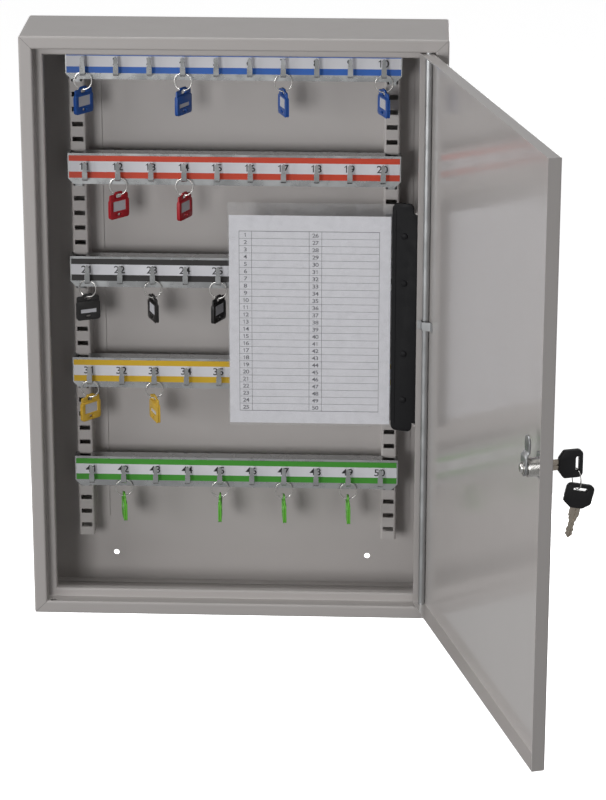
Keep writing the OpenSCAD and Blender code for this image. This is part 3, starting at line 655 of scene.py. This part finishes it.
class KEYCABINET_OT_labels(bpy.types.Operator):
    """Number strips with coloured edges, and their numerals"""

    bl_idname = "keycabinet.labels"
    bl_label = "Number strips"

    def execute(self, context):
        colours = context.scene.row_colours
        paper = printed_paper("label_paper", tuple(context.scene.cabinet_finish.paper), 0.4)
        black = ink("numeral_ink", (0.012, 0.012, 0.014))
        low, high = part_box("number_strips")
        for row in range(ROWS):
            bar_z = self.bar_bottom(row)
            edge_colour = tuple(getattr(colours, f"label_{row + 1}"))
            stripe = printed_paper(f"label_stripe_{row + 1}", edge_colour, 0.4)
            bands = []
            left, right = low.x / MM, high.x / MM
            for k, number in ((0, 1), (1, 0), (2, 1)):
                base, top = LABEL_BANDS[k], LABEL_BANDS[k + 1]
                band = stood(slab(box_outline(left, base, right, top), LABEL_PROUD))
                bands.append((moved(band, 0, (low.y + high.y) / 2 / MM, bar_z), number))
            strip = finish_piece(
                f"number_strip_{row + 1}", joined("strip", bands), [paper, stripe], "cabinet",
                smooth=False,
            )
            first = row * HOOKS + 1
            digits = []
            for column in range(HOOKS):
                digit = stood(lettering(str(first + column), NUMERAL_H))
                digits.append(moved(
                    digit, self.hook_x(column) + NUMERAL_SHIFT, low.y / MM - 0.02,
                    bar_z + NUMERAL_BASE,
                ))
            finish_piece(
                f"numerals_{row + 1}", joined("digits", digits), black, "cabinet", smooth=False
            )
        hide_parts("number_strips")
        return {"FINISHED"}

    @staticmethod
    def hook_x(column):
        first = JOINTS["ring_swing_01"]["pos_m"][0] / MM
        return first + column * HOOK_PITCH

    @staticmethod
    def bar_bottom(row):
        """Height of a bar's lower edge, in mm."""
        strip_low, strip_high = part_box("number_strips")
        lowest = strip_low.z / MM - LABEL_BANDS[0]
        pitch = (strip_high.z - strip_low.z) / MM - (LABEL_BANDS[3] - LABEL_BANDS[0])
        return lowest + pitch / (ROWS - 1) * (ROWS - 1 - row)


class KEYCABINET_OT_rings(bpy.types.Operator):
    """Split rings, wound from flat wire"""

    bl_idname = "keycabinet.rings"
    bl_label = "Split rings"

    def execute(self, context):
        wire = nickel_plate("ring_nickel", tuple(context.scene.cabinet_finish.nickel), 0.2)
        turns = 1.94
        for number in TAG_TURNS:
            joint = JOINTS[hook_name("ring_swing", number)]
            axis = JOINTS[hook_name("tag_swing", number)]["axis"]
            twist = math.atan2(axis[1], axis[0])
            centre = Vector(joint["pos_m"]) - Vector((0, 0, RING_R * MM))
            ends_at = math.radians(100 + 37 * (number % 7))
            turn = Matrix.Rotation(twist, 4, "Z") @ Matrix.Rotation(ends_at, 4, "Y")
            matrix = Matrix.Translation(centre) @ turn
            name = hook_name("ring", number)
            finish_piece(
                hook_name("split_ring", number), coil("ring", RING_R, RING_WIRE, turns), wire,
                hook_name("hanging_ring", number), matrix, [name],
            )
        return {"FINISHED"}


class KEYCABINET_OT_tags(bpy.types.Operator):
    """Plastic key tags with a paper window, a slotted back and a latch hole"""

    bl_idname = "keycabinet.tags"
    bl_label = "Key tags"

    def execute(self, context):
        colours = context.scene.row_colours
        paper = printed_paper("tag_paper", (0.62, 0.62, 0.66), 0.25)
        plastics = {
            slot: moulded(f"{slot}_plastic", tuple(getattr(colours, slot)), 0.36)
            for slot in TAG_SLOTS
        }
        for number, turn in TAG_TURNS.items():
            slot = TAG_SLOTS[(number - 1) // HOOKS]
            body = hook_name("hanging_tag", number)
            hole = Vector(JOINTS[hook_name("tag_swing", number)]["pos_m"])
            hole.z -= TAG_HANG * MM
            matrix = Matrix.Translation(hole) @ Matrix.Rotation(math.radians(turn), 4, "Z") @ UPRIGHT
            shell, card = self.shapes(context.scene.tag_sizes)
            finish_piece(
                hook_name("key_tag", number), shell, plastics[slot], body, matrix,
                [hook_name("tag", number)],
            )
            finish_piece(hook_name("tag_card", number), card, paper, body, matrix, smooth=False)
        return {"FINISHED"}

    @staticmethod
    def shapes(size):
        """The moulding and the paper card of one tag, with its hole's middle at the origin."""
        top = 4.0
        shoulder = top - 2.2
        bottom = top - size.height
        body_top = -2.8
        half = size.width / 2
        side = half - 0.6
        skin = (size.thickness - 1.6) / 2
        tab = rounded(
            [
                (-side, body_top - 2), (side, body_top - 2), (side, shoulder), (5.2, shoulder + 0.2),
                (3.3, top), (-3.3, top), (-5.2, shoulder + 0.2), (-side, shoulder),
            ],
            [0, 0, 1.8, 0.8, 1.2, 1.2, 0.8, 1.8],
        )
        hole = box_outline(-3.5, -2, 3.5, 2, 1.99, 6)
        body = box_outline(-half, bottom, half, body_top, 2.6, 6)
        window = box_outline(-7.4, bottom + 7, 7.4, bottom + 16.3, 0.5, 3)
        slot = box_outline(-7.5, bottom + 6.8, 7.5, bottom + 10.4, 0.3, 2)
        latch = box_outline(-2.3, bottom + 2.4, 2.3, bottom + 4.9, 0.7, 3)
        inner = size.thickness / 2 - skin / 2
        core = box_outline(-half + 0.5, bottom + 0.5, half - 0.5, body_top - 0.3, 2.2)
        parts = [
            plate("tab", tab, 1.56, 0.22, [hole]),
            plate("core", core, 1.6, 0.1, [latch]),
            plate("front", body, skin + 0.3, 0.3, [window, latch], inner - 0.15),
            plate("back", body, skin + 0.3, 0.3, [slot, latch], -inner + 0.15),
            plate("rim", box_outline(-6.2, -2.6, 6.2, -2.1, 0.2), 2.3, 0.15),
        ]
        card = plate("card", box_outline(-7.6, bottom + 6.6, 7.6, bottom + 16.5, 0.3), 1.9, 0.05)
        return joined("tag", parts), card


class KEYCABINET_OT_index(bpy.types.Operator):
    """Swinging index: black strip, rivets, clear pocket and printed sheet"""

    bl_idname = "keycabinet.index"
    bl_label = "Index"

    LEAN = 15
    STRIP_W = 25.5
    STRIP_T = 2.4
    HEIGHT = 218
    RIVETS = (-0.36, -0.155, 0.155, 0.36)

    def execute(self, context):
        finish = context.scene.cabinet_finish
        black = moulded("strip_black", tuple(finish.black), 0.55, 0.6, 0.12)
        leaned = INDEX @ Matrix.Rotation(-math.radians(self.LEAN), 4, "Z")
        self.strip(black, leaned)
        self.rivets(black, leaned)
        dress(clear_film("sleeve_film", (0.80, 0.81, 0.84)), "index_sleeve")
        dress(printed_paper("index_paper", tuple(finish.paper), 0.5), "index_sheet")
        self.printing(ink("table_ink", (0.10, 0.10, 0.12)))
        return {"FINISHED"}

    def strip(self, black, leaned):
        half = self.HEIGHT / 2
        notch = 5.7
        reach = 100.3
        outline = rounded(
            [
                (-self.STRIP_W, -half), (-notch, -half), (-notch, -reach), (-0.5, -reach),
                (-0.5, reach), (-notch, reach), (-notch, half), (-self.STRIP_W, half),
            ],
            [5, 4, 0, 0, 0, 0, 4, 5],
        )
        rib_x = -self.STRIP_W + 3.2
        rib = box_outline(rib_x - 0.6, -half + 6, rib_x + 0.6, half - 6, 0.55)
        parts = [
            stood(plate("strip", outline, self.STRIP_T, 0.5)),
            stood(plate("rib", rib, 0.9, 0.2, z=1.1)),
            self.knuckle(reach),
        ]
        finish_piece(
            "index_spine", joined("spine", parts), black, "index", leaned,
            ["index_strip"],
        )

    @staticmethod
    def knuckle(reach):
        """The strip's round edge, with five shallow grooves."""
        profile = [(1.55, -reach), (2.7, -reach), (3.0, -reach + 0.4)]
        for at in (-60, -30, 0, 30, 60):
            profile += [(3.0, at - 0.6), (2.75, at - 0.4), (2.75, at + 0.4), (3.0, at + 0.6)]
        profile += [(3.0, reach - 0.4), (2.7, reach), (1.55, reach)]
        mesh = turned("knuckle", profile, 32)
        mesh.transform(Matrix.Rotation(math.radians(90), 4, "X"))
        return mesh

    def rivets(self, black, leaned):
        head = [(0, -3.15), (1.1, -3.1), (2.2, -2.8), (2.9, -2.3), (3.1, -1.75), (3.1, -1.2), (0, -1.2)]
        across = -0.55 * self.STRIP_W
        parts = []
        for share in self.RIVETS:
            up = share * self.HEIGHT
            front = [(r, y * 0.8 - 0.24) for r, y in head]
            parts.append(moved(turned("head", front, 28), across, 0, up))
            back = [(r, 2.35 - (y + 1.2) * 0.5) for r, y in head]
            parts.append(moved(turned("tail", back, 28), across, 0, up))
            parts.append(moved(turned("shank", [(1.45, -1.3), (1.45, 2.4)], 20), across, 0, up))
        finish_piece(
            "strip_rivets", joined("rivets", parts), black, "index", leaned,
            ["index_rivets"],
        )

    @staticmethod
    def printing(black):
        """The sheet's table: ruled lines and the numbers 1 to 50."""
        low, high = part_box("index_sheet")
        margin_left, margin_top = 9.2, 15.0
        left, top = low.x / MM + margin_left, high.z / MM - margin_top
        rows = 25
        row_h = 6.92
        columns = (0, 11.4, 63.7, 75.1, 127.4)
        face = low.y / MM
        line_t = 0.02
        parts = []
        for k in range(rows + 1):
            w = 0.16 if 0 < k < rows else 0.26
            z = top - k * row_h
            parts.append(block(left, face - line_t, z - w, left + columns[-1], face, z + w, 0))
        for x in columns:
            parts.append(block(
                left + x - 0.18, face - line_t, top - rows * row_h, left + x + 0.18, face, top, 0
            ))
        for half in (0, 1):
            for k in range(rows):
                number = stood(lettering(str(1 + k + rows * half), 3.7, 1.25))
                parts.append(moved(
                    number, left + (columns[0], columns[2])[half] + 5.7, face - line_t,
                    top - (k + 1) * row_h + 1.5,
                ))
        finish_piece("index_table", joined("table", parts), black, "index", smooth=False)


class KEYCABINET_OT_lock(bpy.types.Operator):
    """Cam lock: threaded housing, turning plug, cranked cam, washer and screw"""

    bl_idname = "keycabinet.lock"
    bl_label = "Lock"

    DEPTH = 16.6

    def execute(self, context):
        nickel = nickel_plate("lock_nickel", tuple(context.scene.cabinet_finish.nickel), 0.2)
        steel = zinc_plate("cam_zinc", tuple(context.scene.cabinet_finish.zinc), 0.26, (1, 1, 0.1))
        finish_piece(
            "lock_housing", self.housing(), nickel, "door", LOCK, ["lock_barrel"]
        )
        for name, mesh, metal, slot, replaced in (
            ("lock_core", self.core(), nickel, "steel", ["lock_plug"]),
            ("lock_cam_plate", self.cam(), steel, "zinc", ["lock_cam"]),
            ("cam_fixing", self.fixing(), nickel, "zinc", ["cam_washer", "cam_screw"]),
        ):
            finish_piece(name, mesh, metal, "lock_rotor", LOCK, replaced)
        return {"FINISHED"}

    def housing(self):
        """Flange, threaded body and open bore; y = 0 is the door's outer face."""
        bore, thread, root, pitch = 6.05, 7.95, 7.55, 0.9
        profile = [(bore, -1.9), (6.4, -2.4), (8.6, -2.5), (9.6, -2.1)]
        profile += [(10.0, -1.3), (10.0, -0.02), (thread, 0)]
        y = 1.1
        while y < self.DEPTH - 1.2:
            profile += [(thread, y), (root, y + pitch / 2)]
            y += pitch
        profile += [(7.9, self.DEPTH - 0.9), (7.5, self.DEPTH - 0.2)]
        profile += [(6.2, self.DEPTH), (bore, self.DEPTH)]
        profile.append(profile[0])
        return turned("housing", profile, 48)

    def core(self):
        """The plug's face, with its keyway, and its square drive behind."""
        keyway = box_outline(-1.15, -3.65, 1.15, 3.65, 0.3)
        face = plate("face", round_outline(0, 0, 5.95, 40), 3.0, 0.3, [keyway])
        face.transform(Matrix.Translation((0, -0.9 * MM, 0)) @ UPRIGHT)
        collar = [(0, 15.2), (5.9, 15.2), (5.95, 15.6), (5.95, 17.0), (5.6, 17.3), (0, 17.3)]
        rear = turned("rear", collar, 40)
        drive = block(-3.25, 17.2, -3.25, 3.25, 18.95, 3.25, 0.35)
        return joined("core", [face, rear, drive])

    def cam(self):
        """Cranked cam, cut from strip and bent towards the door."""
        half = 7
        tip = half - 1
        end = 28 - tip
        crank = 2.8
        bend_start, bend_run = 9.6, 4.8
        base = 17.4 + 0.8
        outline = [self.on_arc(half, 0, a) for a in range(180, 361, 15)]
        outline += [(half, 9), (half - 1.8, 13), (half - 1.8, 15), (tip, 18.5)]
        outline += [self.on_arc(tip, end, a) for a in range(0, 181, 15)]
        outline += [(-tip, 18.5), (1.8 - half, 15), (1.8 - half, 13), (-half, 9)]
        hole = box_outline(-3.3, -3.3, 3.3, 3.3, 0.4, 2)
        mesh = plate("cam", outline, 1.6, 0.25, [hole])
        bm = bmesh.new()
        bm.from_mesh(mesh)
        for at in (9.2, 10.0, 11.2, 12.8, 14.0, 14.8):
            bmesh.ops.bisect_plane(
                bm, geom=bm.verts[:] + bm.edges[:] + bm.faces[:], plane_co=(0, at * MM, 0),
                plane_no=(0, 1, 0),
            )
        for vert in bm.verts:
            run = min(max((vert.co.y / MM - bend_start) / bend_run, 0), 1)
            vert.co.z += crank * MM * run * run * (3 - 2 * run)
        bm.to_mesh(mesh)
        bm.free()
        mesh.transform(Matrix.Translation((0, base * MM, 0)) @ UPRIGHT)
        return mesh

    @staticmethod
    def on_arc(radius, up, angle):
        turn = math.radians(angle)
        return radius * math.cos(turn), up + radius * math.sin(turn)

    def fixing(self):
        """Washer and domed screw."""
        base = 19.05
        washer = [(1.9, 0), (5.3, 0), (5.5, 0.2), (5.5, 0.6), (5.3, 0.8), (1.9, 0.8), (1.9, 0)]
        head_y = base + 0.85
        dome = [(0, 0), (3.9, 0), (4.2, 0.3), (4.1, 1.0), (3.4, 1.7), (2.2, 2.1), (0.9, 2.2), (0, 2.2)]
        return joined("fixing", [
            turned("washer", [(r, base + y) for r, y in washer], 40),
            turned("dome", [(r, head_y + y) for r, y in dome], 36),
        ])


class KEYCABINET_OT_keys(bpy.types.Operator):
    """Key in the lock, wire ring and spare key"""

    bl_idname = "keycabinet.keys"
    bl_label = "Keys"

    SHOULDER = 8.3
    BOW = 20.8
    SLOT_INSET = 4.7
    FACE = -2.5
    LOOP_R = 8.7
    LOOP_WIRE = (1.1, 0.52)
    LOOP_TURNS = 1.9
    SPARE_LEAN = 13
    BLADE_COLOUR = (0.43, 0.38, 0.32)

    def execute(self, context):
        finish = context.scene.cabinet_finish
        black = moulded("bow_black", tuple(finish.black), 0.38, 0.5, 0.3)
        metal = nickel_plate("blade_nickel", self.BLADE_COLOUR, 0.26)
        wire = nickel_plate("loop_nickel", tuple(finish.nickel), 0.18)
        lock_face = LOCK @ Matrix.Translation((0, self.FACE * MM, 0))
        finish_piece("lock_key_blade", self.blade(), metal, "key", lock_face, ["key_blade"])
        finish_piece("lock_key_bow", self.bow(), black, "key", lock_face, ["key_bow"])
        spare = self.spare_frame()
        finish_piece(
            "second_key_blade", self.blade(), metal, "spare_key", spare, ["spare_key_blade"]
        )
        finish_piece(
            "second_key_bow", self.bow(), black, "spare_key", spare, ["spare_key_bow"]
        )
        self.loop(wire)
        return {"FINISHED"}

    def slot_y(self):
        return -self.SHOULDER - self.BOW + self.SLOT_INSET

    def spare_frame(self):
        """The spare key hangs by its slot from the bottom of the ring."""
        pivot = DOOR.inverted() @ Vector(JOINTS["spare_key_swing"]["pos_m"])
        slot_half, wire_half, bow_half, clear = 1.45, 0.6, 2.5, 0.3
        sag = self.LOOP_R - math.sqrt(self.LOOP_R**2 - bow_half**2)
        hang = slot_half - wire_half - sag - clear
        return (
            DOOR
            @ Matrix.Translation(pivot)
            @ Matrix.Rotation(math.radians(self.SPARE_LEAN), 4, "X")
            @ Matrix.Translation((0, -3.5 * MM, -hang * MM))
            @ Matrix.Rotation(math.radians(-90), 4, "X")
            @ Matrix.Translation((0, -self.slot_y() * MM, 0))
        )

    def lay(self, mesh):
        """Turns a plate: its length runs along y, its width along z, its thickness along x."""
        mesh.transform(Matrix(((0, 0, 1, 0), (1, 0, 0, 0), (0, 1, 0, 0), (0, 0, 0, 1))))
        return mesh

    def blade(self):
        """A neck in the bow, a stepped shoulder, and a toothed tongue with a groove in each face."""
        tip = 18
        neck = -self.SHOULDER - 2
        teeth = [(1.6, 3.5), (2.6, 3.1), (3.6, 2.4), (5.4, 2.4), (6.4, 3.0), (7.2, 2.3), (8.8, 2.2)]
        teeth += [(10.0, 3.0), (11.4, 3.2), (12.2, 2.5), (13.2, 2.6), (14.4, 3.1), (15.4, 2.7)]
        teeth.append((16.6, 1.5))
        outline = [(neck, -4.5), (-1.2, -4.5), (-0.05, -3.5)]
        outline += [(along, -half) for along, half in teeth]
        outline += [(tip, -0.3), (tip, 0.3)]
        outline += [(along, half) for along, half in reversed(teeth)]
        outline += [(-0.05, 3.5), (-1.2, 4.5), (neck, 4.5)]
        groove = box_outline(neck + 0.5, -0.75, tip - 1.4, 0.75, 0.5, 3)
        parts = [
            self.lay(plate("blade", outline, 0.8, 0.1)),
            self.lay(plate("face", outline, 0.6, 0.16, [groove], 0.68)),
            self.lay(plate("back", outline, 0.6, 0.16, [groove], -0.68)),
        ]
        return joined("blade", parts)

    def bow(self):
        back = -self.SHOULDER
        far = back - self.BOW
        outline = rounded(
            [(back, -5.5), (back, 5.5), (back - 4.6, 12), (far, 12), (far, -12), (back - 4.6, -12)],
            [2.6, 2.6, 2.8, 4.4, 4.4, 2.8],
            7,
        )
        slot = box_outline(self.slot_y() - 1.45, -6.2, self.slot_y() + 1.45, 6.2, 1.44, 5)
        body = plate("bow", outline, 5.0, 0.9, [slot])
        return self.lay(body)

    def loop(self, wire):
        pivot = DOOR.inverted() @ Vector(JOINTS["key_ring_swing"]["pos_m"])
        centre = pivot - Vector((0, 0, self.LOOP_R * MM))
        turn, ends_at = math.radians(5), math.radians(150)
        matrix = (
            DOOR @ Matrix.Translation(centre) @ Matrix.Rotation(turn, 4, "Z")
            @ Matrix.Rotation(ends_at, 4, "Y")
        )
        finish_piece(
            "key_loop_wire", coil("loop", self.LOOP_R, self.LOOP_WIRE, self.LOOP_TURNS), wire,
            "key_loop", matrix, ["key_ring"],
        )


class KEYCABINET_OT_stage(bpy.types.Operator):
    """Pale floor, soft studio lights and the camera"""

    bl_idname = "keycabinet.stage"
    bl_label = "Stage"

    FLOOR_Z = -1.25
    CAMERA_PLACE = (0.1636, -2.7128, 0.9095)
    CAMERA_PITCH = -0.3320
    CAMERA_TURN = 0.0409
    SENSOR = 24
    LENS_RATIO = 3.8434

    def execute(self, context):
        scene = context.scene
        scene.view_settings.view_transform = "Standard"
        self.floor()
        self.world(scene)
        self.light("key_light", (-1.1, -2.8, 0.4), (0, 0, 0.12), 0.9, 33)
        self.light("left_fill", (-2.4, -1.7, 0.3), (0.1, -0.1, 0.05), 1.5, 27)
        self.light("front_fill", (0.9, -3.4, 0.4), (0, 0, 0), 1.2, 7)
        self.light("overhead", (-0.1, -0.2, 2.3), (0, 0, 0), 1.8, 25)
        self.light("right_side", (2.8, 0.2, 0.7), (0.2, 0, 0), 1.6, 26)
        self.light("left_side", (-2.6, 0.7, 0.6), (0, 0, 0), 1.6, 16)
        self.light("rear", (0.3, 2.8, -0.8), (0, 0, 0), 1.6, 30)
        self.camera(scene)
        return {"FINISHED"}

    def floor(self):
        bm = bmesh.new()
        bmesh.ops.create_grid(bm, x_segments=8, y_segments=8, size=40)
        bmesh.ops.translate(bm, verts=bm.verts, vec=(0, 0, self.FLOOR_Z))
        mesh = to_mesh(bm, "floor")
        s = Shader("floor_white", Roughness=0.9)
        s.set(Base_Color=s.mix(s.noise(400, 2), (0.93, 0.93, 0.93), (0.95, 0.95, 0.95)))
        s.set(Emission_Color=(1, 1, 1, 1), Emission_Strength=0.95)
        mesh.materials.append(s.material)
        floor = bpy.data.objects.new("floor", mesh)
        floor.visible_diffuse = False
        floor.visible_glossy = False
        bpy.context.scene.collection.objects.link(floor)

    @staticmethod
    def world(scene):
        world = bpy.data.worlds.new("studio")
        scene.world = world
        world.use_nodes = True
        back = world.node_tree.nodes["Background"]
        back.inputs["Color"].default_value = (1, 1, 1, 1)
        back.inputs["Strength"].default_value = 0.42
        world.cycles_visibility.diffuse = False

    @staticmethod
    def light(name, place, aim, size, power):
        lamp = bpy.data.lights.new(name, "AREA")
        lamp.shape = "SQUARE"
        lamp.size = size
        lamp.energy = power
        holder = bpy.data.objects.new(name, lamp)
        holder.location = place
        holder.rotation_euler = (Vector(aim) - Vector(place)).to_track_quat("-Z", "Y").to_euler()
        bpy.context.scene.collection.objects.link(holder)

    def camera(self, scene):
        lens = bpy.data.cameras.new("camera")
        lens.sensor_fit = "VERTICAL"
        lens.sensor_height = self.SENSOR
        lens.lens = self.SENSOR * self.LENS_RATIO
        lens.shift_x = 0.008
        lens.shift_y = -0.08
        lens.clip_end = 60
        camera = bpy.data.objects.new("camera", lens)
        camera.location = self.CAMERA_PLACE
        camera.rotation_euler = (math.radians(90) + self.CAMERA_PITCH, 0, self.CAMERA_TURN)
        scene.collection.objects.link(camera)
        scene.camera = camera


class KEYCABINET_PT_panel(bpy.types.Panel):
    """Key cabinet pieces"""

    bl_idname = "KEYCABINET_PT_panel"
    bl_label = "Key cabinet"
    bl_space_type = "VIEW_3D"
    bl_region_type = "UI"
    bl_category = "Key cabinet"

    def draw(self, context):
        scene = context.scene
        for group in (scene.cabinet_finish, scene.row_colours, scene.tag_sizes):
            box = self.layout.box()
            for key in type(group).__annotations__:
                box.prop(group, key)
        for operator in OPERATORS:
            self.layout.operator(operator.bl_idname)


OPERATORS = (
    KEYCABINET_OT_steelwork,
    KEYCABINET_OT_labels,
    KEYCABINET_OT_rings,
    KEYCABINET_OT_tags,
    KEYCABINET_OT_index,
    KEYCABINET_OT_lock,
    KEYCABINET_OT_keys,
    KEYCABINET_OT_stage,
)
CLASSES = (CabinetFinish, RowColours, TagSizes, *OPERATORS, KEYCABINET_PT_panel)


def register():
    for one in CLASSES:
        bpy.utils.register_class(one)
    bpy.types.Scene.cabinet_finish = bpy.props.PointerProperty(type=CabinetFinish)
    bpy.types.Scene.row_colours = bpy.props.PointerProperty(type=RowColours)
    bpy.types.Scene.tag_sizes = bpy.props.PointerProperty(type=TagSizes)


def unregister():
    del bpy.types.Scene.tag_sizes
    del bpy.types.Scene.row_colours
    del bpy.types.Scene.cabinet_finish
    for one in reversed(CLASSES):
        bpy.utils.unregister_class(one)


def main():
    register()
    bpy.ops.keycabinet.steelwork()
    bpy.ops.keycabinet.labels()
    bpy.ops.keycabinet.rings()
    bpy.ops.keycabinet.tags()
    bpy.ops.keycabinet.index()
    bpy.ops.keycabinet.lock()
    bpy.ops.keycabinet.keys()
    bpy.ops.keycabinet.stage()


if __name__ == "__main__":
    main()
